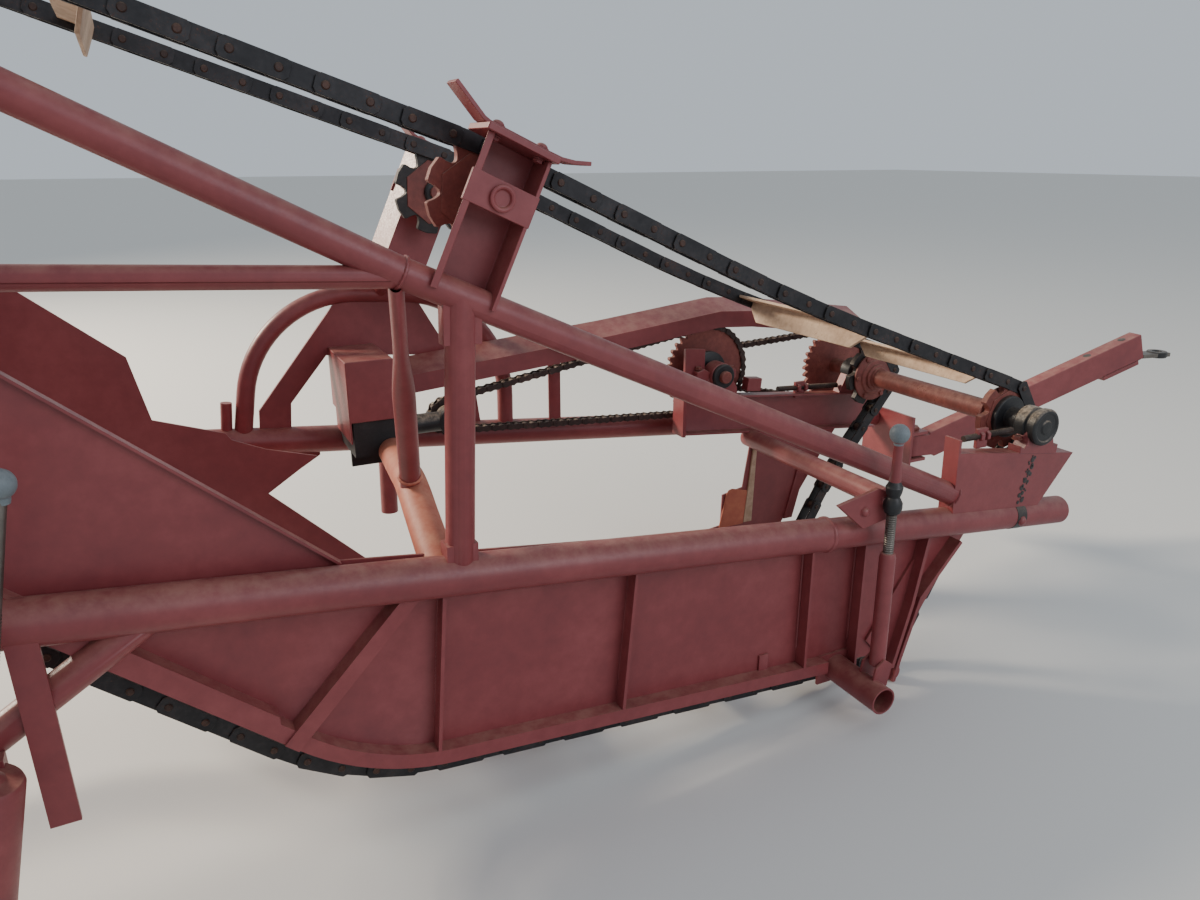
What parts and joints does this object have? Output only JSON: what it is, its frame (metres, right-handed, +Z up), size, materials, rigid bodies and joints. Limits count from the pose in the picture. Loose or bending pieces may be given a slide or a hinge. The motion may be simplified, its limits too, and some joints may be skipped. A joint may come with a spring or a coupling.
{
  "type": "stone picker",
  "caption": "Trailed stone picker: a drag-chain trough and rising elevator of steel plate between tube frames lifts stones into a tipping hopper over the rear wheels.",
  "frame": {"origin": "On the ground under the middle of the box round the whole machine, parked on its two wheels and front toes.", "axes": "X forward to the hitch, Y to the machine's left, Z up."},
  "size_m": [6.7319, 1.864, 2.4053],
  "materials": {
    "red_paint": "faded satin paint with rust at edges",
    "rust_orange_paint": "rusted and faded paint",
    "chain_steel": "dark oiled steel with rust film",
    "flight_steel": "dusty worn steel",
    "bare_steel": "worn steel",
    "sprocket_steel": "rusty steel with worn teeth",
    "bearing_iron": "black casting with dust",
    "grey_plastic": "weathered",
    "tyre_rubber": "worn rubber",
    "wheel_paint": "faded satin paint",
    "chrome_rod": "polished",
    "black_paint": "dull paint"
  },
  "bodies": {
    "frame_body": {"side_plate_right": "red_paint", "side_plate_left": "red_paint", "front_shoes": "red_paint", "main_tube_right": "red_paint", "main_tube_left": "red_paint", "channel_beam": "red_paint", "bearing_box": "red_paint", "upper_frame_right": "red_paint", "upper_frame_left": "red_paint", "cross_tube": "rust_orange_paint", "front_brace": "red_paint", "idler_posts": "red_paint", "idler_sprockets": "sprocket_steel", "front_shaft": "sprocket_steel", "head_shaft": "sprocket_steel", "front_bearings": "bearing_iron", "head_bearings": "bearing_iron", "conveyor_chain_right": "chain_steel", "conveyor_chain_left": "chain_steel", "flights": "flight_steel", "guard_box": "red_paint", "gearbox": "bearing_iron", "countershaft": "sprocket_steel", "counter_bearing": "red_paint", "drive_chains": "chain_steel", "chain_guard": "red_paint", "front_jack": "red_paint", "jack_bracket": "rust_orange_paint", "stub_tube": "red_paint", "rear_braces": "red_paint", "rear_jack": "red_paint", "axle": "red_paint", "chassis_rails": "red_paint", "ram_yoke": "red_paint", "drawbar_bracket": "red_paint"},
    "hopper_body": {"hopper": "red_paint", "hopper_underframe": "red_paint"},
    "ram_barrel_body": {"ram_barrel": "black_paint"},
    "ram_rod_body": {"ram_rod": "chrome_rod"},
    "wheel_right": {"tyre_right": "tyre_rubber", "rim_right": "wheel_paint"},
    "wheel_left": {"tyre_left": "tyre_rubber", "rim_left": "wheel_paint"},
    "drawbar_body": {"drawbar": "red_paint", "hitch_tongue": "bare_steel"}
  },
  "joints": [
    {"name": "wheel_right_spin", "type": "hinge", "parent": "frame_body", "child": "wheel_right", "pos_m": [-2.3153, -0.8, 0.38], "axis": [0, 1, 0], "continuous": true},
    {"name": "wheel_left_spin", "type": "hinge", "parent": "frame_body", "child": "wheel_left", "pos_m": [-2.3153, 0.8, 0.38], "axis": [0, 1, 0], "continuous": true},
    {"name": "drawbar_swing", "type": "hinge", "parent": "frame_body", "child": "drawbar_body", "pos_m": [2.2047, 0.384, 0.4], "axis": [0, 0, 1], "range_deg": [-20, 25]},
    {"name": "hopper_tip", "type": "hinge", "parent": "frame_body", "child": "hopper_body", "pos_m": [-3.1653, 0, 0.84], "axis": [0, -1, 0], "range_deg": [0, 45]},
    {"name": "ram_barrel_swing", "type": "hinge", "parent": "frame_body", "child": "ram_barrel_body", "pos_m": [-2.0653, 0, 0.62], "axis": [0, 1, 0], "range_deg": [0, 11]},
    {"name": "ram_rod_slide", "type": "slide", "parent": "ram_barrel_body", "child": "ram_rod_body", "axis": [-0.9502, 0, 0.3117], "range_m": [0, 0.20795]}
  ],
  "couplings": [
    {"joint": "ram_barrel_swing", "follows": "hopper_tip", "ratio": 0.2444},
    {"joint": "ram_rod_slide", "follows": "hopper_tip", "m_per_rad": 0.26477}
  ]
}
